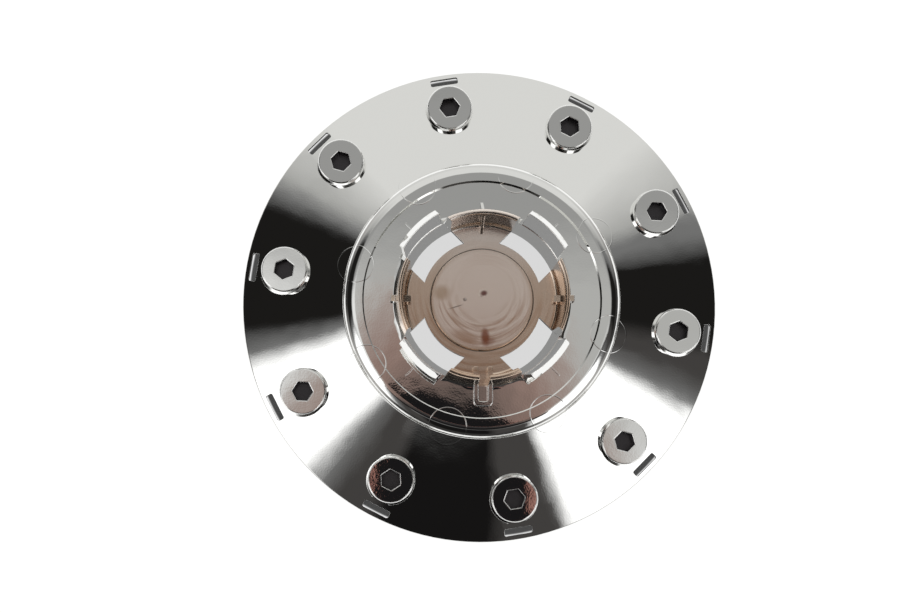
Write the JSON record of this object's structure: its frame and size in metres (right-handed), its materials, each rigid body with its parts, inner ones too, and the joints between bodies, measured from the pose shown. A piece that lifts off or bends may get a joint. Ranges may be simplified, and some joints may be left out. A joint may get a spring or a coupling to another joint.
{
  "type": "wheel center cap",
  "caption": "Chrome-plated centre cap for a truck wheel: a shallow cone with moulded screw heads, slots and snap legs round a raised hub with an open emblem seat.",
  "frame": {"origin": "on the wheel's axis, in the plane of the snap legs' tips, where the cap stands when it is set down", "axes": "+Z along the wheel's axis, out of the wheel, to the side that is seen; -Y to the key channel of the emblem seat; +X to one of the two side keys"},
  "size_m": [0.21, 0.21, 0.0507],
  "materials": {
    "chrome_plating": "bright chrome plate on moulded plastic"
  },
  "bodies": {
    "root": {"center_cap": "chrome_plating"}
  },
  "joints": []
}
